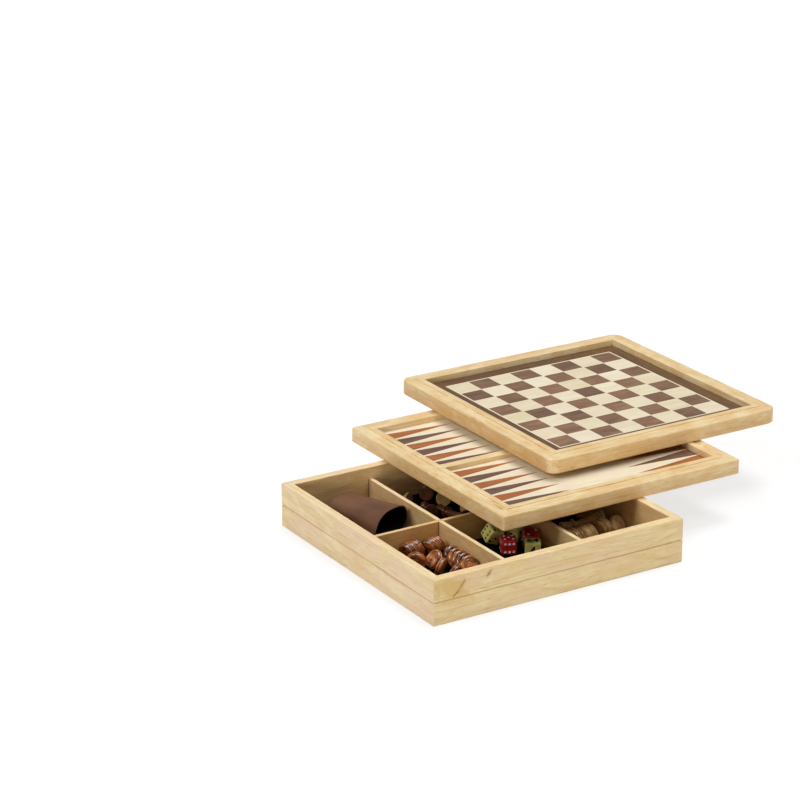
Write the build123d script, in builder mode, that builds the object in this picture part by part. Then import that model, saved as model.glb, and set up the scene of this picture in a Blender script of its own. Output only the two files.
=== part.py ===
# A games compendium box: a mitred wooden box with six lined compartments, and two framed
# boards that lie on it one over the other, a backgammon board and a chess board.
# Everything is in millimetres. The origin is the centre of the box's underside, +Z up.
import os
from math import atan2, cos, degrees, pi, radians, sin

from build123d import *

os.makedirs("parts", exist_ok=True)

# Box
box_side = 290.0
box_height = 47.0
wall = 10.0
rim_bevel = 0.8
groove_height = 23.5
groove_width = 1.6
groove_depth = 1.0
base_thickness = 4.0
base_housing = 4.0
lining_thickness = 1.0
divider = 4.4
divider_drop = 13.0
divider_tongue = 3.0
long_divider_spacing = 90.0
cross_divider_offset = 2.5

# Board frames, the same section for both boards
board_side = 290.0
frame_thickness = 16.0
rail_width = 20.0
band_width = 6.5
band_rise = 1.0
frame_roundover = 1.8
underside_bevel = 1.2
panel_thickness = 4.0
panel_housing = 5.0
panel_height = 6.0
veneer = 0.8

# Backgammon board
backgammon_corner = 3.5
backgammon_offset = (119.5, 63.0)
bar_width = 10.0
bar_height = 5.8
points_per_quarter = 6
point_length = 84.0
point_base = 17.8
point_gap = 1.0
point_margin = 2.2

# Chess board
chess_corner = 12.5
chess_offset = (98.0, 62.0)
squares_per_side = 8
square = 25.875
stringing = 1.0
outline = 0.8
border_shadow_gap = 0.8

# Playing pieces
draught_diameter = 21.0
draught_thickness = 6.0
draught_bevel = 0.7
draught_sides = 20
dice_side = 16.0
dice_bevel = 1.4
chessman_sides = 12
pawn_height = 29.0
pawn_radius = 8.0
king_height = 52.0
king_radius = 9.5
cup_length = 68.0
cup_width = 50.0
cup_height = 31.0
cup_corner = 8.0
cup_taper = 0.9
cup_wall = 2.4

# Clearances
housing_gap = 0.1
sliding_gap = 0.2
piece_gap = 0.3

# Worked out from the sizes above
rim = box_side / 2
inside = rim - wall
floor = base_thickness + lining_thickness
divider_top = box_height - divider_drop
opening = board_side - 2 * rail_width
field = panel_height + panel_thickness
backgammon_underside = box_height + sliding_gap
chess_underside = backgammon_underside + frame_thickness + band_rise + sliding_gap
left_divider = -long_divider_spacing / 2
right_divider = long_divider_spacing / 2


def write(piece, name):
    piece.part.label = name
    export_step(piece.part, f"parts/{name}.step")


# Sides run anticlockwise in plan; each faces outward along its first vector.
sides = {
    "right": (Vector(1, 0, 0), Vector(0, 1, 0)),
    "back": (Vector(0, 1, 0), Vector(-1, 0, 0)),
    "left": (Vector(-1, 0, 0), Vector(0, -1, 0)),
    "front": (Vector(0, -1, 0), Vector(1, 0, 0)),
}


def cut_mitres(centre, outward, along):
    for mitre in (outward + along, outward - along):
        split(bisect_by=Plane(origin=centre, z_dir=mitre), keep=Keep.TOP)


# Box walls: one moulded section, mitred at the corners, rebated for the base and housed
# for the ends of the dividers.
def divider_ends():
    ends = [(x, y * inside) for x in (left_divider, right_divider) for y in (-1, 1)]
    return ends, [(x * inside, cross_divider_offset) for x in (-1, 1)]


for name, (outward, along) in sides.items():
    with BuildPart() as box_wall:
        with BuildSketch(Plane(origin=(0, 0, 0), x_dir=outward, z_dir=-along)):
            with BuildLine():
                Polyline(
                    (inside + base_housing, 0),
                    (rim, 0),
                    (rim, groove_height - groove_width / 2),
                    (rim - groove_depth, groove_height),
                    (rim, groove_height + groove_width / 2),
                    (rim, box_height - rim_bevel),
                    (rim - rim_bevel, box_height),
                    (inside + rim_bevel, box_height),
                    (inside, box_height - rim_bevel),
                    (inside, base_thickness),
                    (inside + base_housing, base_thickness),
                    close=True,
                )
            make_face()
        extrude(amount=rim, both=True)
        cut_mitres((0, 0, 0), outward, along)
        long_ends, cross_ends = divider_ends()
        housing = 2 * divider_tongue + 2 * housing_gap
        with BuildSketch(Plane.XY.offset(floor)):
            with Locations(*long_ends):
                Rectangle(divider + 2 * housing_gap, housing)
            with Locations(*cross_ends):
                Rectangle(housing, divider + 2 * housing_gap)
        extrude(amount=divider_top - floor + housing_gap, mode=Mode.SUBTRACT)
    write(box_wall, f"box_wall_{name}")

with BuildPart() as box_base:
    with BuildSketch():
        Rectangle(*[2 * (inside + base_housing - housing_gap)] * 2)
    extrude(amount=base_thickness)
write(box_base, "box_base")

with BuildPart() as box_lining:
    with BuildSketch(Plane.XY.offset(base_thickness)):
        Rectangle(*[2 * (inside - housing_gap)] * 2)
    extrude(amount=lining_thickness)
write(box_lining, "box_lining")

# Dividers: two long ones, notched from above, and a cross divider, notched from below,
# lapped over them.
divider_height = divider_top - floor
lap = divider_height / 2
for name, x in (("left", left_divider), ("right", right_divider)):
    with BuildPart() as long_divider:
        with BuildSketch(Plane.XY.offset(floor)):
            with Locations((x, 0)):
                Rectangle(divider, 2 * (inside + divider_tongue))
        extrude(amount=divider_height)
        with BuildSketch(Plane.XY.offset(floor + lap)):
            with Locations((x, cross_divider_offset)):
                Rectangle(divider, divider + 2 * housing_gap)
        extrude(amount=divider_height - lap, mode=Mode.SUBTRACT)
    write(long_divider, f"divider_{name}")

with BuildPart() as cross_divider:
    with BuildSketch(Plane.XY.offset(floor)):
        with Locations((0, cross_divider_offset)):
            Rectangle(2 * (inside + divider_tongue), divider)
    extrude(amount=divider_height)
    with BuildSketch(Plane.XY.offset(floor)):
        with Locations((left_divider, cross_divider_offset), (right_divider, cross_divider_offset)):
            Rectangle(divider + 2 * housing_gap, divider)
    extrude(amount=lap, mode=Mode.SUBTRACT)
write(cross_divider, "divider_cross")


# Board frames: a rounded ring with a raised inner band and a groove for the panel, cut
# into four rails at the mitres.
def build_frame(board, centre, underside, corner):
    with BuildPart() as ring:
        with BuildSketch(Plane.XY.offset(underside)):
            with Locations(centre):
                RectangleRounded(board_side, board_side, corner)
        extrude(amount=frame_thickness)
        fillet(ring.edges().group_by(Axis.Z)[-1], frame_roundover)
        chamfer(ring.edges().group_by(Axis.Z)[0], underside_bevel)
        with BuildSketch(Plane.XY.offset(underside + frame_thickness)):
            with Locations(centre):
                Rectangle(*[opening + 2 * band_width] * 2)
        extrude(amount=band_rise)
        with BuildSketch(Plane.XY.offset(underside)):
            with Locations(centre):
                Rectangle(opening, opening)
        extrude(amount=frame_thickness + band_rise, mode=Mode.SUBTRACT)
        with BuildSketch(Plane.XY.offset(underside + panel_height)):
            with Locations(centre):
                Rectangle(*[opening + 2 * panel_housing] * 2)
        extrude(amount=panel_thickness, mode=Mode.SUBTRACT)
    for name, (outward, along) in sides.items():
        with BuildPart() as rail:
            add(ring.part)
            cut_mitres((*centre, 0), outward, along)
        write(rail, f"{board}_rail_{name}")
    with BuildPart() as panel:
        with BuildSketch(Plane.XY.offset(underside + panel_height)):
            with Locations(centre):
                Rectangle(*[opening + 2 * (panel_housing - housing_gap)] * 2)
        extrude(amount=panel_thickness)
    write(panel, f"{board}_panel")


backgammon = backgammon_offset
chess = (backgammon_offset[0] + chess_offset[0], backgammon_offset[1] + chess_offset[1])
build_frame("backgammon", backgammon, backgammon_underside, backgammon_corner)
build_frame("chess", chess, chess_underside, chess_corner)

# Backgammon field: two halves of veneer with six points let into each side, a bar between.
half_field = (opening - bar_width) / 2
point_pitch = point_base + point_gap
point_rows = [
    side * (bar_width / 2 + point_margin + point_pitch * (index + 0.5))
    for side in (-1, 1)
    for index in range(points_per_quarter)
]
point_rows.sort()
field_plane = Plane((*backgammon, backgammon_underside + field))


def point(edge, row):
    foot = edge * opening / 2
    tip = edge * (opening / 2 - point_length)
    Polygon(
        (foot, row - point_base / 2),
        (foot, row + point_base / 2),
        (tip, row),
        align=None,
    )


with BuildPart() as backgammon_field:
    with BuildSketch(field_plane):
        with Locations((0, (bar_width + half_field) / 2), (0, -(bar_width + half_field) / 2)):
            Rectangle(opening, half_field)
    extrude(amount=veneer)
    with BuildSketch(field_plane):
        for edge in (-1, 1):
            for row in point_rows:
                point(edge, row)
    extrude(amount=veneer, mode=Mode.SUBTRACT)
write(backgammon_field, "backgammon_field")

for tone, parity in (("light", 1), ("dark", 0)):
    with BuildPart() as points:
        with BuildSketch(field_plane):
            for side, edge in enumerate((-1, 1)):
                for index, row in enumerate(point_rows):
                    if (index + side) % 2 == parity:
                        point(edge, row)
        extrude(amount=veneer)
    write(points, f"points_{tone}")

with BuildPart() as backgammon_bar:
    with BuildSketch(field_plane):
        Rectangle(opening, bar_width)
    extrude(amount=bar_height)
write(backgammon_bar, "backgammon_bar")

# Chess field: a border, a dark line, and eight rows of squares in a lattice of stringing.
chess_plane = Plane((*chess, chess_underside + field))
grid = squares_per_side * square + (squares_per_side + 1) * stringing
pitch = square + stringing

for name, (outward, along) in sides.items():
    with BuildPart() as border:
        with BuildSketch(chess_plane):
            Rectangle(*[opening - 2 * border_shadow_gap] * 2)
            Rectangle(*[grid + 2 * outline] * 2, mode=Mode.SUBTRACT)
        extrude(amount=veneer)
        cut_mitres((*chess, 0), outward, along)
    write(border, f"chess_border_{name}")

with BuildPart() as chess_outline:
    with BuildSketch(chess_plane):
        Rectangle(*[grid + 2 * outline] * 2)
        Rectangle(grid, grid, mode=Mode.SUBTRACT)
    extrude(amount=veneer)
write(chess_outline, "chess_outline")

with BuildPart() as chess_stringing:
    with BuildSketch(chess_plane):
        Rectangle(grid, grid)
        with GridLocations(pitch, pitch, squares_per_side, squares_per_side):
            Rectangle(square, square, mode=Mode.SUBTRACT)
    extrude(amount=veneer)
write(chess_stringing, "chess_stringing")

squares = GridLocations(pitch, pitch, squares_per_side, squares_per_side).locations
for tone, parity in (("dark", 0), ("light", 1)):
    with BuildPart() as chess_squares:
        with BuildSketch(chess_plane):
            chosen = [
                place
                for index, place in enumerate(squares)
                if (index + index // squares_per_side) % 2 == parity
            ]
            with Locations(*chosen):
                Rectangle(square, square)
        extrude(amount=veneer)
    write(chess_squares, f"squares_{tone}")

# Draughts: discs with bevelled rims. Like all the turned pieces they have flat sides, so
# that so many of them stay light.
with BuildPart() as draught:
    with BuildSketch(Plane.XY.offset(-draught_thickness / 2)):
        RegularPolygon(draught_diameter / 2, draught_sides)
    extrude(amount=draught_thickness)
    chamfer(draught.edges().filter_by(Axis.Z, reverse=True), draught_bevel)


# A row of discs standing on edge, each leaning back on the next. It starts so many draught
# diameters from a corner of its compartment. Heading is the way the row runs in plan and
# lean is how far its discs fall back from upright, both in degrees.
def draught_row(corner, right, back, heading, lean, count):
    slope = radians(lean)
    course = radians(heading)
    spacing = (draught_thickness + piece_gap) / cos(slope)
    half_height = draught_diameter / 2 * cos(slope) + draught_thickness / 2 * sin(slope)
    return [
        Plane(
            origin=(
                corner[0] + right * draught_diameter + index * spacing * cos(course),
                corner[1] + back * draught_diameter + index * spacing * sin(course),
                floor + piece_gap + half_height,
            ),
            z_dir=(cos(slope) * cos(course), cos(slope) * sin(course), sin(slope)),
        ).location
        for index in range(count)
    ]


divider_edge = cross_divider_offset - divider / 2
left_of_divider = (left_divider - divider / 2, divider_edge)
right_of_divider = (right_divider + divider / 2, divider_edge)
right_wall = (inside, divider_edge)
dark_rows = [
    draught_row(left_of_divider, -1.12, -0.86, heading=20, lean=14, count=3),
    draught_row(left_of_divider, -2.20, -0.70, heading=16, lean=16, count=3),
    draught_row(left_of_divider, -0.54, -2.12, heading=-90, lean=30, count=5),
    draught_row(left_of_divider, -2.32, -1.73, heading=44, lean=20, count=1),
    draught_row(left_of_divider, -1.51, -1.92, heading=170, lean=40, count=1),
    draught_row(left_of_divider, -1.78, -2.96, heading=128, lean=16, count=1),
    draught_row(left_of_divider, -1.62, -3.86, heading=120, lean=24, count=1),
]
light_rows = [
    draught_row(right_of_divider, 0.72, -3.32, heading=4, lean=20, count=5),
    draught_row(right_of_divider, 2.62, -3.10, heading=14, lean=12, count=2),
    draught_row(right_of_divider, 0.72, -4.80, heading=0, lean=26, count=5),
    draught_row(right_wall, -0.53, -3.11, heading=-66, lean=32, count=1),
    draught_row(right_wall, -0.62, -4.62, heading=-112, lean=40, count=1),
    draught_row(right_wall, -0.60, -0.62, heading=0, lean=90, count=1),
]
for tone, rows in (("dark", dark_rows), ("light", light_rows)):
    with BuildPart() as draughts:
        with Locations(*[place for row in rows for place in row]):
            add(draught.part)
    write(draughts, f"draughts_{tone}")

# Dice: bevelled cubes, resting on a face, an edge or a corner. Each is placed in dice sides
# left of the right-hand divider and down from the cross divider.
with BuildPart() as die:
    Box(dice_side, dice_side, dice_side)
    chamfer(die.edges(), dice_bevel)

dice_corner = (right_divider - divider / 2, divider_edge)


def resting_die(across, down, turn):
    axes = Plane(Location((0, 0, 0), turn))
    rises = [abs(way.Z) for way in (axes.x_dir, axes.y_dir, axes.z_dir)]
    reach = (dice_side / 2 - dice_bevel) * sum(rises) + dice_bevel * max(rises)
    x = dice_corner[0] - across * dice_side
    y = dice_corner[1] - down * dice_side
    return Location((x, y, floor + piece_gap + reach), turn)


dice = {
    "red": [(2.32, 2.82, (0, 0, -26)), (0.74, 2.98, (14, 0, -28))],
    "yellow": [(2.46, 1.28, (24, 20, -12)), (0.82, 1.46, (10, 0, 20)), (1.32, 4.02, (0, 0, -32))],
}
for colour, places in dice.items():
    with BuildPart() as dice_of_colour:
        with Locations(*[resting_die(*place) for place in places]):
            add(die.part)
    write(dice_of_colour, f"dice_{colour}")


# Chess pieces: a foot, a waisted stem, a collar and a head, in steps up the piece. A step's
# two ends are shares of the height, with the girth there as a share of the foot's radius.
pawn_steps = [
    ((0, 1), (0.1, 1)),
    ((0.1, 1), (0.3, 0.48)),
    ((0.3, 0.48), (0.58, 0.34)),
    ((0.58, 0.6), (0.68, 0.5)),
    ((0.68, 0.64), (0.86, 0.64)),
    ((0.86, 0.64), (1, 0.3)),
]
king_steps = [
    ((0, 1), (0.07, 1)),
    ((0.07, 1), (0.2, 0.5)),
    ((0.2, 0.5), (0.62, 0.36)),
    ((0.62, 0.68), (0.68, 0.48)),
    ((0.68, 0.6), (0.9, 0.6)),
    ((0.9, 0.6), (1, 0.24)),
]
pawn = (pawn_height, pawn_radius, pawn_steps)
king = (king_height, king_radius, king_steps)


def turned_piece(height, radius, steps):
    flat = radius * cos(pi / chessman_sides)  # from the axis to the middle of a side
    with BuildPart() as piece:
        for (rise, girth), (top, top_girth) in steps:
            run = height * (top - rise)
            with BuildSketch(Plane.XY.offset(height * rise)):
                RegularPolygon(radius * girth, chessman_sides)
            extrude(amount=run, taper=degrees(atan2(flat * (girth - top_girth), run)))
    return piece.part


# A piece on its side touches the floor with its foot and its head or collar, so its axis
# dips towards the head.
def lying_piece(height, radius, steps, foot, heading):
    ends = [end for step in steps[2:] for end in step]
    dip = min(atan2(radius * (1 - girth), height * rise) for rise, girth in ends)
    course = radians(heading)
    return Plane(
        origin=(*foot, floor + piece_gap + radius * cos(dip)),
        x_dir=(-sin(course), cos(course), 0),
        z_dir=(cos(dip) * cos(course), cos(dip) * sin(course), -sin(dip)),
    ).location


middle = (0, cross_divider_offset + divider / 2)
chessmen = {
    "light": [
        (king, (right_of_divider[0] + 76, right_of_divider[1] - 40), 170),
        (pawn, (middle[0] - 16, middle[1] + 102), 118),
        (pawn, (middle[0] + 16, middle[1] + 86), 62),
        (king, (middle[0] + 26, middle[1] + 14), 92),
    ],
    "dark": [
        (pawn, (middle[0] + 8, middle[1] + 108), 40),
        (pawn, (middle[0] - 14, middle[1] + 62), 75),
        (pawn, (middle[0] - 28, middle[1] + 40), -80),
        (king, (middle[0] + 4, middle[1] + 24), 95),
    ],
}
for tone, men in chessmen.items():
    with BuildPart() as chessmen_of_tone:
        for man, foot, heading in men:
            with Locations(lying_piece(*man, foot, heading)):
                add(turned_piece(*man))
    write(chessmen_of_tone, f"chessmen_{tone}")


# Dice cups: soft leather, pressed out of round and lying on their sides, closed behind and
# open at the mouth.
def build_cup(name, back_centre, heading):
    course = radians(heading)
    back = Plane(
        origin=(*back_centre, floor + piece_gap + cup_height / 2),
        x_dir=(-sin(course), cos(course), 0),
        z_dir=(cos(course), sin(course), 0),
    )
    with BuildPart() as cup:
        for inset, hollow in ((0, Mode.ADD), (cup_wall, Mode.SUBTRACT)):
            ends = ((back.offset(inset), cup_taper), (back.offset(cup_length), 1))
            for end, taper in ends:
                with BuildSketch(end) as section:
                    Rectangle(cup_width * taper - 2 * inset, cup_height - 2 * inset)
                    chamfer(section.vertices(), cup_corner - inset / 2)
            loft(mode=hollow)
    write(cup, name)


build_cup("dice_cup_left", (left_divider - 50, inside - 22), -70)
build_cup("dice_cup_right", (right_divider + 46, inside - 18), -97)
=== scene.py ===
import math
import random

import bmesh
import bpy
import numpy as np
from mathutils import Matrix, Vector, noise


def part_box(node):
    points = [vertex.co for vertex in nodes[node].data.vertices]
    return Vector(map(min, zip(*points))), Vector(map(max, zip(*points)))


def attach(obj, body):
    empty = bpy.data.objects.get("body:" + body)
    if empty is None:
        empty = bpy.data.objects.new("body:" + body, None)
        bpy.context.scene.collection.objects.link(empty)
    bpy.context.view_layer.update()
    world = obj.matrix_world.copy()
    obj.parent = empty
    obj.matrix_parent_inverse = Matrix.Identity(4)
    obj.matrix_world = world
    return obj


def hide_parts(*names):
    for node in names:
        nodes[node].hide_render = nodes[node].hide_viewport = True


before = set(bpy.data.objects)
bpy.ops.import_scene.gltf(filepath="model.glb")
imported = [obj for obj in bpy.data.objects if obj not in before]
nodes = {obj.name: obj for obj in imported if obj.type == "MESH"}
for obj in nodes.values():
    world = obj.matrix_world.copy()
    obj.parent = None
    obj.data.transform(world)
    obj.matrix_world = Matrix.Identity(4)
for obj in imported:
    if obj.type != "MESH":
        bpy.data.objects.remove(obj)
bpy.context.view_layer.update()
mm = 0.001
random.seed(29)


# A socket that takes part in Python expressions
class Socket:
    def __init__(self, network, output):
        self.network = network
        self.output = output

    def maths(self, operation, *values):
        return self.network.node("Math", {"operation": operation}, dict(enumerate(values)))

    def __add__(self, other):
        return self.maths("ADD", self, other)

    def __radd__(self, other):
        return self.maths("ADD", other, self)

    def __sub__(self, other):
        return self.maths("SUBTRACT", self, other)

    def __rsub__(self, other):
        return self.maths("SUBTRACT", other, self)

    def __mul__(self, other):
        return self.maths("MULTIPLY", self, other)

    def __rmul__(self, other):
        return self.maths("MULTIPLY", other, self)

    def __truediv__(self, other):
        return self.maths("DIVIDE", self, other)

    def __abs__(self):
        return self.maths("ABSOLUTE", self)


# The nodes of a material or of the world
class Network:
    def __init__(self, tree):
        self.tree = tree

    def feed(self, inlet, value):
        if isinstance(value, Socket):
            self.tree.links.new(value.output, inlet)
        else:
            inlet.default_value = value

    def node(self, kind, settings=None, values=None, output=0):
        node = self.tree.nodes.new("ShaderNode" + kind)
        for name, value in (settings or {}).items():
            setattr(node, name, value)
        for inlet, value in (values or {}).items():
            self.feed(node.inputs[inlet], value)
        return Socket(self, node.outputs[output]) if node.outputs else node

    def mix(self, share, first, second, blend="MIX"):
        settings = {"data_type": "RGBA", "blend_type": blend}
        return self.node("Mix", settings, {0: share, 6: first, 7: second}, output=2)

    def tint(self, share, first, second):
        return self.mix(share, first, second, "MULTIPLY")

    def vector(self, operation, *values, output=0):
        return self.node("VectorMath", {"operation": operation}, dict(enumerate(values)), output)

    def where(self):  # a point's place, in metres
        return self.node("TexCoord", output="Object")

    def axis(self, index):
        return self.node("SeparateXYZ", None, {0: self.where()}, output=index)

    def reach(self, centre=(0, 0)):  # how far out from a centre, measured square
        out = [abs(self.axis(index) - start) for index, start in enumerate(centre)]
        return out[0].maths("MAXIMUM", *out)

    def place(self, scale, shift):
        values = {"Vector": self.where(), "Scale": scale, "Location": shift}
        return self.node("Mapping", None, values)

    def noise(self, scale, shift=(0, 0, 0), detail=3, roughness=0.55, distortion=0.0):
        values = {
            "Vector": self.place(scale, shift),
            "Scale": 1.0,
            "Detail": detail,
            "Roughness": roughness,
            "Distortion": distortion,
        }
        return self.node("TexNoise", None, values)

    def band(self, value, low, high):  # 0 below low, 1 above high, and a soft step between
        values = {0: value, 1: low, 2: high, 3: 0.0, 4: 1.0}
        return self.node("MapRange", {"interpolation_type": "SMOOTHSTEP"}, values)

    def beyond(self, value, limits):  # the same, with its limits in mm
        return self.band(value, limits[0] * mm, limits[1] * mm)

    def within(self, value, limits):
        return 1 - self.beyond(value, limits)


# A material while it is being made
class Finish(Network):
    def __init__(self, name, **shader):
        self.material = bpy.data.materials.new(name)
        self.material.use_nodes = True
        super().__init__(self.material.node_tree)
        self.shader = self.tree.nodes["Principled BSDF"]
        for inlet, value in shader.items():
            self.feed(self.shader.inputs[inlet.replace("_", " ")], value)

    def surface(self, colour, roughness, relief, strength, depth):
        self.feed(self.shader.inputs["Base Color"], colour)
        self.feed(self.shader.inputs["Roughness"], roughness)
        values = {"Strength": strength, "Distance": depth * mm, "Height": relief}
        self.feed(self.shader.inputs["Normal"], self.node("Bump", None, values))
        return self.material


def rgb(red, green, blue):  # a colour as it looks on a screen, 0 to 255
    def linear(value):
        value /= 255
        return value / 12.92 if value <= 0.04045 else ((value + 0.055) / 1.055) ** 2.4

    return (linear(red), linear(green), linear(blue), 1.0)


def grey(value):
    return (value, value, value, 1)


def stretched(axis, along, across):  # a texture scale drawn out along one axis
    return tuple(along if index == axis else across for index in range(3))


print("woods")

woods = {
    "paleWall": {
        "light": rgb(249, 229, 186),
        "dark": rgb(237, 207, 152),
        "blush": rgb(243, 212, 176),
        "streak": rgb(204, 164, 104),
        "gloss": (0.5, 0.06),  # roughness, and how much lacquer
    },
    "paleFrame": {
        "light": rgb(249, 228, 182),
        "dark": rgb(238, 207, 149),
        "blush": rgb(236, 198, 140),
        "streak": rgb(192, 142, 76),
        "gloss": (0.42, 0.12),
    },
    "plywood": {
        "light": rgb(232, 208, 164),
        "dark": rgb(216, 186, 138),
        "blush": rgb(222, 192, 150),
        "streak": rgb(190, 156, 106),
        "gloss": (0.6, 0.0),
    },
    "maple": {
        "light": rgb(248, 239, 214),
        "dark": rgb(240, 227, 194),
        "blush": rgb(244, 228, 204),
        "streak": rgb(222, 202, 162),
        "gloss": (0.42, 0.1),
    },
    "walnut": {
        "light": rgb(152, 116, 86),
        "dark": rgb(122, 88, 62),
        "blush": rgb(134, 96, 72),
        "streak": rgb(84, 54, 36),
        "gloss": (0.4, 0.12),
    },
    "walnutBorder": {
        "light": rgb(118, 82, 46),
        "dark": rgb(88, 58, 30),
        "blush": rgb(104, 70, 40),
        "streak": rgb(66, 38, 20),
        "gloss": (0.4, 0.12),
    },
    "orangePoint": {
        "light": rgb(186, 112, 50),
        "dark": rgb(160, 90, 36),
        "blush": rgb(172, 98, 46),
        "streak": rgb(138, 74, 26),
        "gloss": (0.42, 0.1),
    },
    "brownPoint": {
        "light": rgb(124, 88, 68),
        "dark": rgb(96, 66, 52),
        "blush": rgb(108, 76, 62),
        "streak": rgb(68, 46, 34),
        "gloss": (0.42, 0.1),
    },
}


grain = {  # scale along and across the grain, detail, roughness and distortion
    "figure": (14, 70, 4, 0.6, 1.6),
    "blush": (26, 30, 3, 0.55, 0.8),
    "lines": (9, 420, 3, 0.6, 0.3),
    "fibre": (60, 1500, 2, 0.6, 0.0),
    "pores": (95, 1000, 1, 0.4, 0.0),
}

stains = [  # what is painted where: a noise, its band, how strong, and the tone
    ("figure", 0.34, 0.68, 1.0, "dark"),
    ("blush", 0.44, 0.62, 0.7, "blush"),
    ("lines", 0.5, 0.78, 0.42, "streak"),
    ("fibre", 0.4, 0.8, 0.2, "streak"),
    ("pores", 0.62, 0.72, 0.4, "streak"),
]

woodFeel = {
    "coatRoughness": 0.25,
    "uneven": 0.12,  # how much the roughness varies
    "relief": {"fibre": 0.5, "lines": 0.5, "pores": 0.6},
    "strength": 0.18,
    "depth": 0.3,
}


# Wood with its grain along one axis. Each layer is painted over it in turn.
def wood(kind, axis, seed, *layers):
    look = woods[kind]
    roughness, lacquered = look["gloss"]
    name = f"{kind}{'XYZ'[axis]}{seed}"
    finish = Finish(name, Coat_Weight=lacquered, Coat_Roughness=woodFeel["coatRoughness"])
    shift = (seed * 0.37, seed * 0.61, seed * 0.23)
    noises, masks = {}, {}
    for part, (along, across, *rest) in grain.items():
        noises[part] = finish.noise(stretched(axis, along, across), shift, *rest)
    colour = look["light"]
    for part, low, high, strength, tone in stains:
        masks[part] = finish.band(noises[part], low, high)
        colour = finish.mix(masks[part] * strength, colour, look[tone])
    for layer in layers:
        colour = layer(finish, colour)
    share = woodFeel["relief"]
    relief = noises["fibre"] * share["fibre"] + noises["lines"] * share["lines"]
    relief = relief - masks["pores"] * share["pores"]
    roughness = (noises["fibre"] - 0.5) * woodFeel["uneven"] + roughness
    return finish.surface(colour, roughness, relief, woodFeel["strength"], woodFeel["depth"])


# Each inlaid square is cut from another place in the veneer, so its tone differs
def cellTone(corner, pitch, seed, low, high):
    def layer(finish, colour):
        across = [finish.axis(index) - start for index, start in enumerate(corner)]
        column, row = (way.maths("FLOOR", way / pitch) for way in across)
        key = finish.node("CombineXYZ", None, {0: column, 1: row, 2: seed})
        chance = finish.node("TexWhiteNoise", {"noise_dimensions": "3D"}, {"Vector": key})
        return finish.tint(1.0, colour, finish.mix(chance, low, high))

    return layer


knotEdge = {"scale": (160, 160, 160), "shift": (3, 7, 1), "detail": 3, "roughness": 0.6}
knotRagged = 1.4


# A knot, stain or dark line in the grain
def knot(facing, centre, size, tilt, strength, colour):
    def layer(finish, base):
        ragged = (finish.noise(**knotEdge) - 0.5) * knotRagged
        away = finish.vector("SUBTRACT", finish.where(), [value * mm for value in centre])
        turn = {"Vector": away, "Axis": facing, "Angle": math.radians(tilt)}
        turned = finish.node("VectorRotate", {"rotation_type": "AXIS_ANGLE"}, turn)
        scaled = finish.vector("MULTIPLY", turned, [1 / (value * mm) for value in size])
        length = finish.vector("LENGTH", scaled, output=1)
        mask = 1 - finish.band(length + ragged, 0.1, 1.0)
        return finish.mix(mask * strength, base, colour)

    return layer


def toned(tone):
    return lambda finish, colour: finish.tint(1.0, colour, tone)


def smooth(mesh, angle):
    mesh.polygons.foreach_set("use_smooth", [True] * len(mesh.polygons))
    mesh.set_sharp_from_angle(angle=math.radians(angle))
    return mesh


def toMesh(work, name, *materials):
    mesh = bpy.data.meshes.new(name)
    work.to_mesh(mesh)
    work.free()
    for material in materials:
        mesh.materials.append(material)
    return mesh


def bridge(work, lower, upper):  # the faces between two rings, or a ring and a point
    count = max(len(lower), len(upper))
    faces = []
    for step in range(count):
        after = (step + 1) % count
        corners = [lower[step % len(lower)], lower[after % len(lower)]]
        corners += [upper[after % len(upper)], upper[step % len(upper)]]
        faces.append(work.faces.new(list(dict.fromkeys(corners))))
    return faces


# Pieces turned on a lathe: a profile of radius and height spun round
def lathe(name, profile, segments, *materials):
    work = bmesh.new()
    rings = []
    for radius, height in profile:
        if radius < 1e-7:
            rings.append([work.verts.new((0, 0, height))])
            continue
        ring = []
        for step in range(segments):
            angle = 2 * math.pi * step / segments
            point = (radius * math.cos(angle), radius * math.sin(angle), height)
            ring.append(work.verts.new(point))
        rings.append(ring)
    for lower, upper in zip(rings, rings[1:]):
        bridge(work, lower, upper)
    bmesh.ops.recalc_face_normals(work, faces=work.faces)
    return smooth(toMesh(work, name, *materials), 32)


def rounded(points, steps):  # a profile with its inner corners eased by small curves
    result = [points[0]]
    for before, corner, after in zip(points, points[1:], points[2:]):
        ease = corner[2] if len(corner) > 2 else 0
        here = Vector(corner[:2])
        if ease == 0:
            result.append(tuple(here))
            continue
        start = here + (Vector(before[:2]) - here).normalized() * ease
        end = here + (Vector(after[:2]) - here).normalized() * ease
        for step in range(steps + 1):
            share = step / steps
            point = start.lerp(here, share).lerp(here.lerp(end, share), share)
            result.append(tuple(point))
    return result + [points[-1]]


def addPiece(name, mesh, place, body, node):
    piece = bpy.data.objects.new(name, mesh)
    bpy.context.scene.collection.objects.link(piece)
    piece.matrix_world = place
    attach(piece, body)
    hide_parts(node)


# The separate solids of a node, each as its corners and its faces' areas and normals. All
# of it is sorted, since a set of corners comes out in another order in each run.
def solidsOf(node):
    work = bmesh.new()
    work.from_mesh(nodes[node].data)
    bmesh.ops.remove_doubles(work, verts=work.verts, dist=1e-6)
    found = []
    left = set(work.verts)
    while left:
        group = {left.pop()}
        rim = set(group)
        while rim:
            near = {edge.other_vert(v) for v in rim for edge in v.link_edges}
            rim = near - group
            group |= rim
        left -= group
        corners = np.array(sorted(tuple(v.co) for v in group))
        faces = {face for v in group for face in v.link_faces}
        sizes = sorted(((face.calc_area(), tuple(face.normal)) for face in faces), reverse=True)
        normals = [(area, Vector(normal)) for area, normal in sizes]
        found.append({"corners": corners, "faces": normals})
    work.free()
    found.sort(key=lambda solid: tuple(np.round(solid["corners"].mean(0), 4)))
    return found


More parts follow.
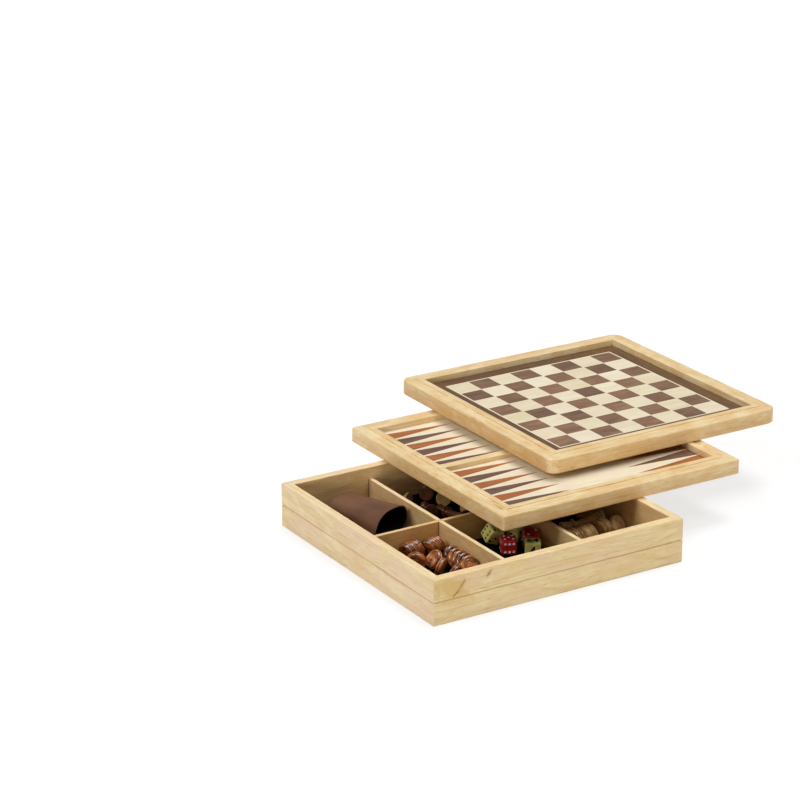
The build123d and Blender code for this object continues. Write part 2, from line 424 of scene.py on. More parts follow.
def spread(solid):  # the middle of a solid and its own axes, shortest spread first
    corners = solid["corners"]
    centre = corners.mean(0)
    _, vectors = np.linalg.eigh(np.cov((corners - centre).T))
    return Vector(centre), [Vector(vectors[:, index]) for index in range(3)]


def standing(origin, axis, spin):  # a place whose Z runs along axis
    turn = axis.to_track_quat("Z", "Y").to_matrix().to_4x4()
    return Matrix.Translation(origin) @ turn @ Matrix.Rotation(spin, 4, "Z")


print("camera and light")

view = {
    "lens": 124.97,  # mm on a 36 mm sensor
    "place": (-1.411052, -2.149309, 1.094325),
    "heading": -0.5503241,
    "down": 0.3509268,
    "roll": 0.0027309,
}


def buildCamera():
    heading, down, roll = view["heading"], view["down"], view["roll"]
    forward = Vector(
        (
            -math.sin(heading) * math.cos(down),
            math.cos(heading) * math.cos(down),
            -math.sin(down),
        )
    )
    level = Vector((math.cos(heading), math.sin(heading), 0))
    below = forward.cross(level)
    right = math.cos(roll) * level + math.sin(roll) * below
    under = math.cos(roll) * below - math.sin(roll) * level
    turn = Matrix((right, -under, -forward)).transposed().to_4x4()
    lens = bpy.data.cameras.new("studioCamera")
    lens.sensor_width = 36
    lens.lens = view["lens"]
    lens.clip_end = 50
    camera = bpy.data.objects.new("studioCamera", lens)
    camera.matrix_world = Matrix.Translation(view["place"]) @ turn
    bpy.context.scene.collection.objects.link(camera)
    bpy.context.scene.camera = camera


light = {
    "sky": 0.25,  # what comes from all round
    "lamps": {
        "skylight": {"from": (0.24, 0.20, 0.95), "strength": 1.54, "softness": 32},
        "key": {"from": (0.30, -0.42, 0.86), "strength": 0.4, "softness": 14},
        "window": {"from": (-0.78, 0.02, 0.62), "strength": 1.05, "softness": 26},
        "front": {"from": (-0.30, -0.95, 0.05), "strength": 0.58, "softness": 6},
    },
}


def buildLight():
    world = bpy.data.worlds.new("studio")
    bpy.context.scene.world = world
    world.use_nodes = True
    world.node_tree.nodes.clear()
    studio = Network(world.node_tree)
    seen = studio.node("LightPath", output="Is Camera Ray")
    through = studio.node("LightPath", output="Is Transmission Ray")
    white = {"Color": (1, 1, 1, 1), "Strength": 1.0}
    sky = studio.node("Background", None, dict(white, Strength=light["sky"]))
    backdrop = studio.node("Background", None, white)
    both = {0: seen.maths("MAXIMUM", seen, through), 1: sky, 2: backdrop}
    studio.node("OutputWorld", None, {0: studio.node("MixShader", None, both)})
    for name, look in light["lamps"].items():
        sun = bpy.data.lights.new(name, "SUN")
        sun.energy = look["strength"]
        sun.angle = math.radians(look["softness"])
        lamp = bpy.data.objects.new(name, sun)
        lamp.rotation_mode = "QUATERNION"
        lamp.rotation_quaternion = Vector(look["from"]).to_track_quat("Z", "Y")
        bpy.context.scene.collection.objects.link(lamp)


studioFloor = {
    "reach": 6,
    "bounce": 0.76,  # how much light it throws back on the piece
    "glow": 0.72,  # how white it looks by itself
    "lit": 0.33,  # how strongly a shadow shows on it
}


def buildFloor():
    mesh = bpy.data.meshes.new("floor")
    reach = studioFloor["reach"]
    corners = [(-reach, -reach, 0), (reach, -reach, 0), (reach, reach, 0), (-reach, reach, 0)]
    mesh.from_pydata(corners, [], [(0, 1, 2, 3)])
    floor = bpy.data.objects.new("floor", mesh)
    bpy.context.scene.collection.objects.link(floor)
    finish = Finish("whiteFloor", Base_Color=grey(studioFloor["bounce"]), Roughness=0.9)
    seen = finish.node("LightPath", output="Is Camera Ray")
    glossy = finish.node("LightPath", output="Is Glossy Ray")
    glow = finish.node("Emission", None, {"Color": grey(studioFloor["glow"]), "Strength": 1.0})
    lit = finish.node("BsdfDiffuse", None, {"Color": grey(studioFloor["lit"])})
    shown = finish.node("AddShader", None, {0: glow, 1: lit})
    bounce = Socket(finish, finish.shader.outputs[0])
    both = {0: seen.maths("MAXIMUM", seen, glossy), 1: bounce, 2: shown}
    outlet = finish.tree.nodes["Material Output"].inputs[0]
    finish.feed(outlet, finish.node("MixShader", None, both))
    mesh.materials.append(finish.material)


buildCamera()
buildLight()
buildFloor()
bpy.context.scene.view_settings.view_transform = "Standard"


print("box and boards")

sideAxis = {"right": 1, "left": 1, "front": 0, "back": 0}  # along which the grain runs
easing = {"weld": 0.01, "angle": 28, "wall": 0.35, "rail": 0.3}


def dress(node, material, ease=0.0):
    piece = nodes[node]
    piece.data.materials.clear()
    piece.data.materials.append(material)
    if ease:
        weld = piece.modifiers.new("weld", "WELD")
        weld.merge_threshold = easing["weld"] * mm
        edge = piece.modifiers.new("easedEdges", "BEVEL")
        edge.width = ease * mm
        edge.segments = 2
        edge.limit_method = "ANGLE"
        edge.angle_limit = math.radians(easing["angle"])
        edge.use_clamp_overlap = True
        shade = piece.modifiers.new("flatFaces", "WEIGHTED_NORMAL")
        shade.weight = 100
        shade.keep_sharp = False


lining = {
    "deep": rgb(7, 6, 6),
    "bright": rgb(22, 19, 18),
    "nap": {"scale": (900, 900, 900), "detail": 3, "roughness": 0.7},
    "cloud": {"scale": (30, 30, 30), "shift": (2, 5, 1), "detail": 2, "roughness": 0.5},
    "clouding": (grey(0.8), grey(1.1)),
}


def felt():
    finish = Finish("blackLining", Specular_IOR_Level=0.05)
    nap = finish.noise(**lining["nap"])
    cloud = finish.noise(**lining["cloud"])
    colour = finish.mix(finish.band(nap, 0.3, 0.8), lining["deep"], lining["bright"])
    colour = finish.tint(1.0, colour, finish.mix(cloud, *lining["clouding"]))
    return finish.surface(colour, 0.95, nap, 0.35, 0.4)


toning = {  # all in mm, out from the middle of the box or board, or up from the floor
    "inside": (135.2, 135.5),
    "outside": (143.0, 143.6),
    "boardEdge": (143.4, 144.9),
    # painted shade: the tint of the walls within the box, and of the dividers' faces
    "wall": (0.92, 0.81, 0.64, 1),
    "divider": (0.91, 0.8, 0.64, 1),
    "dividerTop": (33.5, 33.9),
    # where the painted shade runs in the corner beside each divider, and its strength and colour
    "joint": {"divider": 45, "side": 2.7, "line": (0.15, 0.7), "top": (33.6, 34.2)},
    "cornerShade": (0.75, rgb(90, 60, 32)),
    # painted shade in the groove round the box
    "groove": {"height": 23.5, "line": (0.15, 0.9)},
    "grooveShadeColour": (0.4, rgb(170, 122, 68)),
    # painted shade on the boards' outer edges, high and low, and where it starts and ends
    "edgeShadeHigh": (0.97, 0.93, 0.86, 1),
    "edgeShadeLow": (0.9, 0.8, 0.66, 1),
    "edgeFrom": (-5, 4),  # under the panel's foot, over its top
    # painted shadow in the open joint at the foot of the chess field's frame
    "foot": rgb(40, 24, 12),
    "footDepth": 0.2,
}


# Painted shade inside the box: the walls are tinted deeper within, and a dark line of painted shade
# runs down the corner beside each divider
def innerShade(finish, colour):
    joint = toning["joint"]
    inner = finish.within(finish.reach(), toning["inside"])
    colour = finish.tint(inner, colour, toning["wall"])
    beside = abs(abs(finish.axis(0)) - joint["divider"] * mm)
    line = finish.within(abs(beside - joint["side"] * mm), joint["line"])
    low = finish.within(finish.axis(2), joint["top"])
    strength, dark = toning["cornerShade"]
    return finish.mix(line * low * inner * strength, colour, dark)


# Painted shade on the dividers: their faces are tinted deeper, their lit tops are not
def dividerShade(finish, colour):
    low = finish.within(finish.axis(2), toning["dividerTop"])
    return finish.tint(low, colour, toning["divider"])


# Painted shade in the groove round the box, a dark line over its real shadow
def grooveShade(finish, colour):
    groove = toning["groove"]
    line = finish.within(abs(finish.axis(2) - groove["height"] * mm), groove["line"])
    outer = finish.beyond(finish.reach(), toning["outside"])
    strength, dark = toning["grooveShadeColour"]
    return finish.mix(line * outer * strength, colour, dark)


def centreOf(node):
    low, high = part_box(node)
    return [(first + second) / 2 for first, second in zip(low, high)]


# Painted shade on the boards' outer edges: tinted deeper, most of all low down
def edgeShade(board, shade):
    low, high = (corner[2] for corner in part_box(f"{board}_panel"))
    centre = centreOf(f"{board}_panel")[:2]
    under, over = toning["edgeFrom"]

    def layer(finish, colour):
        edge = finish.beyond(finish.reach(centre), toning["boardEdge"])
        depth = 1 - finish.band(finish.axis(2), low + under * mm, high + over * mm)
        deep = finish.mix(depth, toning["edgeShadeHigh"], toning["edgeShadeLow"])
        return finish.tint(edge, colour, finish.tint(1.0, deep, shade))

    return layer


# Painted shadow in the open joint round the chess field: the top of the panel below, whose top is
# this high, is painted near-black
def footShadow(high):
    def layer(finish, colour):
        top = finish.band(finish.axis(2), high - toning["footDepth"] * mm, high)
        return finish.mix(top, colour, toning["foot"])

    return layer


marks = {
    "box_wall_front": {
        "facing": (0, 1, 0),
        "tone": (1.0, 0.98, 0.87, 1),
        "spots": [  # centre and size in mm, tilt, how strong, and the colour
            ((-124, -145, 34), (36, 9, 18), -8, 0.8, rgb(224, 186, 112)),
            ((-115, -145, 34), (3.4, 9, 14), -42, 0.5, rgb(200, 156, 92)),
            ((-120, -145, 28.5), (0.9, 9, 6), -52, 0.9, rgb(122, 76, 34)),
            ((-112.5, -145, 37), (0.8, 9, 7.5), -36, 0.85, rgb(140, 92, 44)),
            ((-82.5, -145, 41), (3.4, 9, 7), -46, 0.65, rgb(176, 126, 68)),
            ((-83.5, -145, 40), (1.3, 9, 4), -46, 0.7, rgb(140, 92, 46)),
        ],
    },
    "box_wall_left": {
        "facing": (1, 0, 0),
        "spots": [
            ((-145, 92, 38), (9, 16, 3), 10, 0.25, rgb(222, 178, 128)),
            ((-145, -20, 12), (9, 22, 3), -8, 0.25, rgb(222, 180, 124)),
        ],
    },
    "backgammon_rail_left": {
        "facing": (0, 0, 1),
        "spots": [
            ((-15.4, -61, 63), (2.2, 13, 5), 4, 0.75, rgb(196, 142, 62)),
            ((-15.9, -57, 63), (0.8, 9, 5), 4, 0.8, rgb(140, 92, 40)),
            ((-17.6, -34, 63), (0.7, 10, 5), -2, 0.5, rgb(170, 122, 62)),
        ],
    },
}


def marksOn(node):
    look = marks.get(node)
    if not look:
        return []
    layers = [knot(look["facing"], *spot) for spot in look["spots"]]
    return layers + [toned(look["tone"])] if "tone" in look else layers


inlay = {
    "pitch": 26.875,  # a square and its string
    "light": ((0.93, 0.9, 0.82, 1), (1.03, 1.03, 1.05, 1)),
    "dark": ((0.72, 0.7, 0.72, 1), (1.16, 1.14, 1.1, 1)),
}

railShade = {"chess_rail_left": (0.87, 0.82, 0.75, 1)}  # this rail's outer edge is tinted deeper still, over its painted shade


def dressWood():
    rail = easing["rail"]
    for index, (side, axis) in enumerate(sideAxis.items()):
        node = f"box_wall_{side}"
        # the walls get painted shade within and in their groove
        layers = [innerShade, grooveShade, *marksOn(node)]
        dress(node, wood("paleWall", axis, 11 + index * 7, *layers), easing["wall"])
        for board, seed in (("backgammon", 31), ("chess", 61)):
            node = f"{board}_rail_{side}"
            # the boards' rails get painted shade on their outer edges
            layers = [edgeShade(board, railShade.get(node, grey(1))), *marksOn(node)]
            dress(node, wood("paleFrame", axis, seed + index * 5, *layers), rail)
        dress(f"chess_border_{side}", wood("walnutBorder", axis, 90 + index))
    # the dividers' faces get painted shade
    dress("divider_left", wood("paleWall", 1, 51, dividerShade), rail)
    dress("divider_right", wood("paleWall", 1, 57, dividerShade), rail)
    dress("divider_cross", wood("paleWall", 0, 54, dividerShade, innerShade), rail)
    dress("box_base", wood("plywood", 0, 3))
    dress("box_lining", felt())
    dress("backgammon_panel", wood("plywood", 0, 5))
    dress("backgammon_field", wood("maple", 0, 71))
    dress("points_light", wood("orangePoint", 0, 73))
    dress("points_dark", wood("brownPoint", 0, 76))
    dress("backgammon_bar", wood("paleFrame", 0, 79), rail)
    dress("chess_panel", wood("plywood", 1, 8, footShadow(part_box("chess_panel")[1][2])))
    dress("chess_outline", wood("maple", 0, 81))
    dress("chess_stringing", wood("maple", 0, 82))
    pitch = inlay["pitch"] * mm
    corner = [value - pitch * 4 for value in centreOf("chess_outline")[:2]]
    for tone, kind, seed in (("light", "maple", 83), ("dark", "walnut", 85)):
        cells = cellTone(corner, pitch, seed, *inlay[tone])
        dress(f"squares_{tone}", wood(kind, 0, seed, cells))


dressWood()


print("draughts")

draught = {
    "radius": 10.35,
    "height": 5.9,
    "coat": 0.6,
    "shades": (1.25, 0.72, 0.95),  # how pale each kind of blank is
    "over": {"draughts_dark": (0, 4, 12, 13), "draughts_light": (12, 14)},  # turned over
}

stained = {"light": rgb(200, 120, 58), "dark": rgb(92, 42, 20), "streak": rgb(36, 14, 7)}
natural = {"light": rgb(238, 204, 142), "dark": rgb(214, 172, 108), "streak": rgb(158, 108, 58)}


# Lacquered end grain, stained or natural, cut from the same rod all along
def lacquer(name, look, seed, coat, shade):
    finish = Finish(name, Coat_Weight=coat, Coat_Roughness=0.09, Coat_IOR=1.75)
    shift = (seed * 0.7, seed * 0.3, seed * 0.9)
    figure = finish.noise((120, 120, 40), shift, detail=3, roughness=0.5, distortion=0.8)
    streak = finish.noise((520, 520, 60), shift, detail=3, roughness=0.6, distortion=0.2)
    colour = finish.mix(finish.band(figure, 0.32, 0.7), look["light"], look["dark"])
    colour = finish.mix(finish.band(streak, 0.45, 0.75) * 0.5, colour, look["streak"])
    colour = finish.tint(1.0, colour, (shade, shade**1.2, shade**1.4, 1))
    return finish.surface(colour, 0.2 + streak * 0.12, streak, 0.12, 0.2)


def draughtProfile(radius, height):
    half = height / 2
    face = [  # radius, height, and how far the corner there is eased
        (0, half - 0.5),
        (radius * 0.3, half - 0.5, 0.3),
        (radius * 0.36, half - 0.95, 0.25),
        (radius * 0.42, half - 0.5, 0.3),
        (radius * 0.6, half - 0.35, 0.4),
        (radius * 0.66, half - 0.85, 0.25),
        (radius * 0.73, half - 0.1, 0.4),
        (radius * 0.88, half, 0.8),
        (radius, half - 1.3, 0.7),
        (radius, half * 0.36, 0.3),
        (radius - 1.0, half * 0.16, 0.25),
    ]
    under = [(out, -rise, *ease) for out, rise, *ease in face]
    both = under + face[::-1]
    return rounded([tuple(value * mm for value in point) for point in both], 3)


def buildDraughts():
    profile = draughtProfile(draught["radius"], draught["height"])
    for tone, look, node, slot in (
        ("dark", stained, "draughts_dark", "stained_wood"),
        ("pale", natural, "draughts_light", "turned_wood"),
    ):
        shapes = []
        for variant, shade in enumerate(draught["shades"]):
            seed = variant * 3 + 1
            finish = lacquer(f"{tone}Lacquer{variant}", look, seed, draught["coat"], shade)
            shapes.append(lathe(f"{tone}Draught{variant}", profile, 40, finish))
        for index, solid in enumerate(solidsOf(node)):
            centre, (axis, *_) = spread(solid)
            upright = max(axis, key=abs) > 0
            if upright == (index in draught["over"][node]):
                axis = -axis
            place = standing(centre, axis, random.uniform(0, 6.28))
            shape = shapes[index % len(shapes)]
            addPiece(f"{tone}Draught_{index:02d}", shape, place, "box", node)


buildDraughts()


print("dice")

dice = {
    "size": 16,
    "rounding": 1.9,
    "pip": {"radius": 1.35, "depth": 0.45, "apart": 4.2},
    "numeral": {"size": 11.5, "thick": 0.05, "bold": 0.35, "proud": 0.02},
    "red": {"base": rgb(198, 34, 42), "deep": rgb(150, 18, 28), "pip": rgb(246, 244, 238)},
    "yellow": {"base": rgb(222, 218, 132), "deep": rgb(190, 186, 98), "pip": rgb(16, 16, 14)},
    # what shows: on top, to the right, and behind
    "faces": {"dice_red": [(5, 3, 1), (2, 1, 3)], "dice_yellow": [(2, 1, 4), None, (1, 5, -4)]},
    "numerals": ("64", "8", "16", "2", "32", "4"),  # the doubling cube
}

pipSpots = {
    1: [(0, 0)],
    2: [(-1, -1), (1, 1)],
    3: [(-1, -1), (0, 0), (1, 1)],
    4: [(-1, -1), (1, 1), (-1, 1), (1, -1)],
    5: [(-1, -1), (1, 1), (-1, 1), (1, -1), (0, 0)],
    6: [(-1, -1), (1, 1), (-1, 1), (1, -1), (0, -1), (0, 1)],
}

acrylicFeel = {
    "Coat_Weight": 0.4,
    "Coat_Roughness": 0.08,
    "Subsurface_Weight": 0.15,
    "Subsurface_Radius": (1.0, 0.7, 0.4),
    "Subsurface_Scale": 2 * mm,
}


def acrylic(name, look):
    finish = Finish(name, **acrylicFeel)
    cloud = finish.noise((110, 110, 110), (1, 2, 3), detail=2, roughness=0.5)
    wear = finish.noise((700, 700, 700), (4, 1, 2), detail=2, roughness=0.5)
    colour = finish.mix(finish.band(cloud, 0.3, 0.75), look["base"], look["deep"])
    return finish.surface(colour, 0.24 + wear * 0.14, wear, 0.05, 0.1)


def paint(name, colour):
    finish = Finish(name)
    speckle = finish.noise((900, 900, 900), (0, 3, 1), detail=2, roughness=0.5)
    deeper = tuple(value * 0.92 for value in colour[:3]) + (1,)
    tone = finish.mix(speckle, deeper, colour)
    return finish.surface(tone, 0.45 + speckle * 0.1, speckle, 0.05, 0.1)


# The same mesh, numbered along a way on which no two of its corners are level. A bevel or a
# boolean gives its corners and faces in another order in each run.
def renumbered(mesh):
    slant = Vector((0.53, 0.71, 0.89))
    order = sorted(mesh.vertices, key=lambda corner: corner.co.dot(slant))
    number = {corner.index: index for index, corner in enumerate(order)}
    faces = []
    for face in mesh.polygons:
        ring = [number[corner] for corner in face.vertices]
        first = ring.index(min(ring))
        faces.append((ring[first:] + ring[:first], face.material_index))
    faces.sort()
    fresh = bpy.data.meshes.new(mesh.name)
    fresh.from_pydata([corner.co.copy() for corner in order], [], [ring for ring, _ in faces])
    for material in mesh.materials:
        fresh.materials.append(material)
    fresh.polygons.foreach_set("material_index", [slot for _, slot in faces])
    return fresh


def roundedCube(name, *materials):
    work = bmesh.new()
    bmesh.ops.create_cube(work, size=dice["size"] * mm)
    bmesh.ops.bevel(
        work,
        geom=list(work.edges) + list(work.verts),
        offset=dice["rounding"] * mm,
        segments=5,
        profile=0.5,
        affect="EDGES",
    )
    return renumbered(toMesh(work, name, *materials))


faceTurns = [  # turns that bring the top to each face: top, bottom, right, left, back, front
    Matrix.Identity(3),
    Matrix.Rotation(math.pi, 3, "X"),
    Matrix.Rotation(math.pi / 2, 3, "Y"),
    Matrix.Rotation(-math.pi / 2, 3, "Y"),
    Matrix.Rotation(-math.pi / 2, 3, "X"),
    Matrix.Rotation(math.pi / 2, 3, "X"),
]


def cutWith(piece, cutter):
    bite = piece.modifiers.new("pips", "BOOLEAN")
    bite.operation = "DIFFERENCE"
    bite.solver = "EXACT"
    bite.material_mode = "TRANSFER"
    bite.object = cutter
    shaped = bpy.data.meshes.new_from_object(
        piece.evaluated_get(bpy.context.evaluated_depsgraph_get())
    )
    piece.modifiers.clear()
    return shaped


def pippedDie(name, shown, look):
    radius, depth, apart = (value * mm for value in dice["pip"].values())
    ball = (radius * radius + depth * depth) / (2 * depth)
    rise = dice["size"] * mm / 2 - depth + ball
    pits = bmesh.new()
    for index, turn in enumerate(faceTurns):
        number = shown[index // 2]
        spots = pipSpots[7 - abs(number) if index % 2 else abs(number)]
        for across, up in spots:
            if number < 0:
                across, up = -up, across
            centre = turn @ Vector((across * apart, up * apart, rise))
            place = Matrix.Translation(centre) @ turn.to_4x4()
            shape = {"u_segments": 20, "v_segments": 28, "radius": ball, "matrix": place}
            bmesh.ops.create_uvsphere(pits, **shape)
    piece = bpy.data.objects.new(name, roundedCube(name, *look))
    cutter = bpy.data.objects.new(f"{name}Pits", toMesh(pits, f"{name}Pits", look[1]))
    for each in (piece, cutter):
        bpy.context.scene.collection.objects.link(each)
    bpy.context.view_layer.update()
    shaped = cutWith(piece, cutter)
    bpy.data.objects.remove(cutter)
    bpy.data.objects.remove(piece)
    return smooth(renumbered(shaped), 30)


def numeral(text):  # a number as a thin flat print, in its own plane
    look = dice["numeral"]
    curve = bpy.data.curves.new("numeral", "FONT")
    curve.body = text
    curve.size = look["size"] * mm
    curve.align_x = "CENTER"
    curve.align_y = "CENTER"
    curve.extrude = look["thick"] * mm
    curve.offset = look["bold"] * mm
    curve.resolution_u = 4
    piece = bpy.data.objects.new("numeral", curve)
    bpy.context.scene.collection.objects.link(piece)
    bpy.context.view_layer.update()
    shape = piece.evaluated_get(bpy.context.evaluated_depsgraph_get())
    mesh = bpy.data.meshes.new_from_object(shape)
    bpy.data.objects.remove(piece)
    return mesh


def doublingCube(name, look):
    rise = (dice["size"] / 2 + dice["numeral"]["proud"]) * mm
    work = bmesh.new()
    work.from_mesh(roundedCube(f"{name}Blank"))
    for turn, text in zip(faceTurns, dice["numerals"]):
        figures = numeral(text)
        figures.transform(turn.to_4x4() @ Matrix.Translation((0, 0, rise)))
        figures.polygons.foreach_set("material_index", [1] * len(figures.polygons))
        work.from_mesh(figures)
    return smooth(toMesh(work, name, *look), 30)


def buildDice():
    for node in ("dice_red", "dice_yellow"):
        tone = node.split("_")[1]
        look = (acrylic(f"{tone}Acrylic", dice[tone]), paint(f"{tone}Pip", dice[tone]["pip"]))
        for index, solid in enumerate(solidsOf(node)):
            normals = [normal for _, normal in solid["faces"][:12]]  # two for each side
            up = max(normals, key=lambda normal: normal.z)
            level = [normal for normal in normals if abs(normal.dot(up)) < 0.2]
            right = max(level, key=lambda normal: normal.x - normal.y)
            turn = Matrix((right, up.cross(right), up)).transposed().to_4x4()
            shown = dice["faces"][node][index]
            name = f"{tone}Die{index}"
            shape = pippedDie(name, shown, look) if shown else doublingCube(name, look)
            place = Matrix.Translation(Vector(solid["corners"].mean(0))) @ turn
            addPiece(f"{tone}Die_{index}", shape, place, "box", node)


buildDice()


print("leather dice cups")

cup = {
    "length": 68,
    "width": 50,
    "height": 31,
    "taper": 0.9,
    "wall": 1.7,
    "sag": 0.9,
    "dent": {"scale": 38, "along": 0.02, "level": 0.45, "depth": 0.8},
    "lean": {"most": 0.3, "outward": 0.3, "inward": 0.1},
    "squareness": 2.9,  # 2 is an ellipse, more is boxier
    "around": 96,
    "leather": rgb(117, 77, 48),
    "shade": rgb(92, 58, 37),
    "edge": rgb(104, 72, 54),
    # the inside is near-black, painted shade of the cup's hollow
    "inside": rgb(16, 12, 12),
    "insideShade": rgb(8, 7, 7),
    "thread": rgb(90, 60, 44),
    # where the foot is, and which way the mouth points
    "places": {"dice_cup_left": ((-95, 113), -70), "dice_cup_right": ((91, 117), -97)},
    "seams": (0.53, 0.97),  # how far round each cup its seam is
}


def leather(name, base, shade, seed):
    finish = Finish(name, Coat_Weight=0.05, Coat_Roughness=0.35, Specular_IOR_Level=0.35)
    shift = (seed, seed * 0.4, seed * 0.7)
    cells = {"Vector": finish.place((1, 1, 1), shift), "Scale": 620.0}
    pebble = finish.node("TexVoronoi", {"feature": "SMOOTH_F1"}, cells)
    crease = finish.noise((260, 260, 60), shift, detail=4, roughness=0.6, distortion=0.6)
    cloud = finish.noise((32, 32, 22), shift, detail=3, roughness=0.55)
    colour = finish.mix(finish.band(cloud, 0.3, 0.72), base, shade)
    colour = finish.mix(finish.band(crease, 0.56, 0.8) * 0.35, colour, shade)
    colour = finish.mix(finish.band(pebble, 0.3, 0.9) * 0.2, colour, shade)
    relief = pebble * 0.5 + crease * 0.5
    return finish.surface(colour, 0.5 + pebble * 0.16, relief, 0.3, 0.3)


def squashedRing(share, inset):  # the cup's section at a share of its length
    lean = cup["lean"]
    scale = cup["taper"] + (1 - cup["taper"]) * share
    wide = (cup["width"] * scale / 2 - inset) * mm
    tall = (cup["height"] * scale / 2 - inset) * mm
    power = 2 / cup["squareness"]
    points = []
    for step in range(cup["around"]):
        angle = 2 * math.pi * step / cup["around"]
        across, up = math.cos(angle), math.sin(angle)
        y = math.copysign(abs(up) ** power, up) * tall
        x = math.copysign(abs(across) ** power, across) * wide
        sag = cup["sag"] * mm * (1 - (x / wide) ** 2) * math.sin(math.pi * share)
        if x > 0:  # one side is pressed over, wide at the foot and narrow at the top
            press = share * lean["outward"] - lean["inward"] - share * y / tall
            x *= 1 + lean["most"] * press
        points.append((x, y - sag if y > 0 else y))
    return points


# The cup's section as it would be cut lengthwise: how far in from the outside, and how far
# along, from the middle of the foot up the side, over the rim and down to the floor within
def cupProfile():
    length, wall = cup["length"], cup["wall"]
    foot = [(12, 2.4), (6, 2.2), (2.6, 2.1), (2.2, 1.4), (1.9, 0.4), (1.2, 0), (0.4, 0.3), (0, 1.2)]
    side = [(0, 1.2 + (length - 2.6) * step / 18) for step in range(1, 19)]
    rise = [(0.08, length - 0.7), (0.5, length - 0.15)]
    fall = [(wall - inset, along) for inset, along in reversed(rise)]
    within = [(wall, length - 1.6 - (length - 8) * step / 8) for step in range(9)]
    floor = [(wall + 1, 5), (wall + 3, 4.4), (12, 4.4)]
    return foot + side + rise + [(wall / 2, length)] + fall + within + floor


def cupShell(name, seed, *materials):
    hide, edge, shadedSuede = range(3)
    dent, length = cup["dent"], cup["length"]
    work = bmesh.new()
    rings = []
    profile = cupProfile()
    for inset, along in profile:
        ring = []
        for x, y in squashedRing(along / length, inset):
            point = Vector((x, y, along * mm))
            if inset < 0.01 and 2 < along < length - 2:  # the outside, off the foot and rim
                here = Vector((x * dent["scale"] + seed, y * dent["scale"], along * dent["along"]))
                depth = (noise.noise(here) - dent["level"]) * dent["depth"] * mm
                point += Vector((x, y, 0)).normalized() * depth
            ring.append(work.verts.new(point))
        rings.append(ring)
    rimFrom = next(level for level, (_, along) in enumerate(profile) if along > length - 0.8)
    withinFrom = rimFrom + 4
    for level, (lower, upper) in enumerate(zip(rings, rings[1:])):
        slot = hide if level < rimFrom else edge if level < withinFrom else shadedSuede
        for face in bridge(work, lower, upper):
            face.material_index = slot
    for ring, slot in ((rings[0], hide), (rings[-1], shadedSuede)):
        centre = work.verts.new(sum((v.co for v in ring), Vector()) / len(ring))
        for face in bridge(work, ring, [centre]):
            face.material_index = slot
    bmesh.ops.recalc_face_normals(work, faces=work.faces)
    return smooth(toMesh(work, name, *materials), 50)


stitch = {
    "count": 14,
    "margin": 5,  # from each end of the cup
    "length": 3,
    "girth": 0.36,
    "proud": 0.25,
    "dip": (0.35, 0.5),  # how deep the whole thread lies, and how much more its ends
}


def stitchRow(name, angleShare, material):  # a row of short threads along the side seam
    work = bmesh.new()
    run = cup["length"] - 2 * stitch["margin"]
    deep, deeper = stitch["dip"]
    for thread in range(stitch["count"]):
        along = stitch["margin"] + thread * run / (stitch["count"] - 1)
        points = squashedRing(along / cup["length"], -stitch["proud"])
        x, y = points[int(angleShare * cup["around"])]
        out = Vector((x, y, 0)).normalized()
        across = Vector((-out.y, out.x, 0))
        rings = []
        for end in range(7):
            share = end / 6 * 2 - 1  # -1 at one end of the thread, 1 at the other
            centre = Vector((x, y, (along + share * stitch["length"] / 2) * mm))
            centre -= out * (deep + deeper * share * share) * mm
            girth = stitch["girth"] * mm * math.sqrt(max(1 - share**4, 0.02))
            angles = [2 * math.pi * step / 8 for step in range(8)]
            ways = [out * math.cos(angle) + across * math.sin(angle) for angle in angles]
            rings.append([work.verts.new(centre + way * girth) for way in ways])
        for lower, upper in zip(rings, rings[1:]):
            bridge(work, lower, upper)
        work.faces.new(list(reversed(rings[0])))
        work.faces.new(rings[-1])
    bmesh.ops.recalc_face_normals(work, faces=work.faces)
    return smooth(toMesh(work, name, material), 50)


def buildCups():
    hide = leather("cupLeather", cup["leather"], cup["shade"], 2.0)
    edge = leather("cupEdge", cup["edge"], cup["shade"], 5.0)
    # the inside is painted near-black, as painted shade of the hollow
    shadedSuede = leather("cupShadedInside", cup["inside"], cup["insideShade"], 8.0)
    thread = leather("cupThread", cup["thread"], cup["shade"], 1.0)
    for index, (node, (foot, heading)) in enumerate(cup["places"].items()):
        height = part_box(node)[0][2] + cup["height"] / 2 * mm
        course = math.radians(heading)
        axis = Vector((math.cos(course), math.sin(course), 0))
        across = Vector((-axis.y, axis.x, 0))
        turn = Matrix((-across, Vector((0, 0, 1)), axis)).transposed().to_4x4()
        place = Matrix.Translation((foot[0] * mm, foot[1] * mm, height)) @ turn
        shell = cupShell(f"{node}_shell", index * 5.3, hide, edge, shadedSuede)
        addPiece(f"{node}_shell", shell, place, "box", node)
        stitches = stitchRow(f"{node}_stitches", cup["seams"][index], thread)
        addPiece(f"{node}_stitches", stitches, place, "box", node)


buildCups()


print("chessmen")

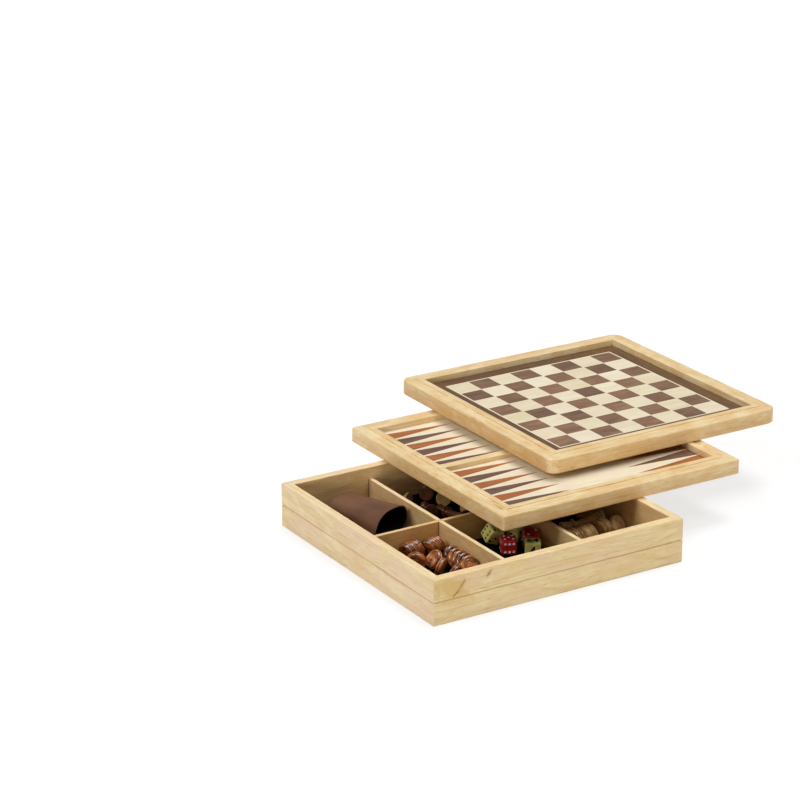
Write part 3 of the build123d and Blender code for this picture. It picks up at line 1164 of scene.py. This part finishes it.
chessman = {
    "pawn": {
        "height": 29,
        "radius": 8,
        "girth": [
            (0, 0.9), (0, 0.97, 0.02), (0.02, 1, 0.02), (0.075, 1, 0.02), (0.1, 0.93, 0.02),
            (0.11, 0.8, 0.01), (0.15, 0.8, 0.02), (0.2, 0.62, 0.04), (0.36, 0.4, 0.08),
            (0.55, 0.32, 0.04), (0.59, 0.36, 0.01), (0.6, 0.6, 0.01), (0.635, 0.62, 0.015),
            (0.66, 0.46, 0.01), (0.68, 0.34, 0.01), (0.7, 0.42),
        ],
        "ball": (0.82, 0.64),  # how high its middle is, and its girth
    },
    "king": {
        "height": 52,
        "radius": 9.5,
        "girth": [
            (0, 0.9), (0, 0.97, 0.01), (0.012, 1, 0.01), (0.055, 1, 0.01), (0.07, 0.93, 0.01),
            (0.08, 0.82, 0.01), (0.11, 0.82, 0.01), (0.15, 0.6, 0.03), (0.3, 0.4, 0.08),
            (0.56, 0.34, 0.03), (0.6, 0.4, 0.01), (0.62, 0.66, 0.01), (0.645, 0.66, 0.01),
            (0.66, 0.46, 0.01), (0.7, 0.42, 0.02), (0.86, 0.6, 0.01), (0.885, 0.6, 0.01),
            (0.9, 0.5, 0.01), (0.925, 0.26, 0.02), (0.93, 0.12, 0.01), (0.99, 0.1, 0.01),
            (1, 0.06), (1, 0),
        ],
    },
    "coat": 0.5,
    "longest": 40,  # what is longer than this is a king
    "ends": 3,  # how much of each end is measured, to find the foot
    "dark": {"light": rgb(112, 66, 40), "dark": rgb(76, 40, 24), "streak": rgb(46, 24, 14)},
    "light": {"light": rgb(228, 190, 130), "dark": rgb(206, 162, 104), "streak": rgb(170, 124, 72)},
}


def chessmanMesh(name, kind, material):
    look = chessman[kind]
    height, radius = look["height"] * mm, look["radius"] * mm
    points = [(0, 0)]
    for rise, girth, *ease in look["girth"]:
        points.append((girth * radius, rise * height, *(value * height for value in ease)))
    profile = rounded(points, 4)
    if "ball" in look:
        centre, girth = look["ball"][0] * height, look["ball"][1] * radius
        start = math.asin((points[-1][1] - centre) / girth)
        steps = 16
        profile.pop()
        for step in range(steps):
            angle = start + (math.pi / 2 - start) * step / steps
            profile.append((girth * math.cos(angle), centre + girth * math.sin(angle)))
        profile.append((0, centre + girth))
    return lathe(name, profile, 48, material)


# A chessman's length, the way from its foot to its head, and the middle of its foot
def lieOf(solid):
    corners = solid["corners"]
    axis = spread(solid)[1][2]
    along = corners @ np.array(axis)
    measured = chessman["ends"] * mm
    low, high = corners[along < along.min() + measured], corners[along > along.max() - measured]
    widths = [np.linalg.norm(end - end.mean(0), axis=1).max() for end in (low, high)]
    if widths[0] < widths[1]:
        axis = -axis
    soles = [normal for _, normal in solid["faces"] if normal.dot(axis) < -0.99]
    if soles:
        axis = -soles[0]
    height = corners @ np.array(axis)
    foot = corners[height < height.min() + 0.2 * mm]
    return along.max() - along.min(), axis, Vector(foot.mean(0))


def buildChessmen():
    for tone, slot, seed in (("light", "turned_wood", 27), ("dark", "stained_wood", 21)):
        node = f"chessmen_{tone}"
        finish = lacquer(f"{tone}Chessman", chessman[tone], seed, chessman["coat"], 1.0)
        shapes = {kind: chessmanMesh(f"{tone}{kind}", kind, finish) for kind in ("pawn", "king")}
        for index, solid in enumerate(solidsOf(node)):
            length, axis, foot = lieOf(solid)
            shape = shapes["king" if length > chessman["longest"] * mm else "pawn"]
            place = standing(foot, axis, index * math.pi / 2)
            addPiece(f"{tone}Chessman_{index}", shape, place, "box", node)


buildChessmen()
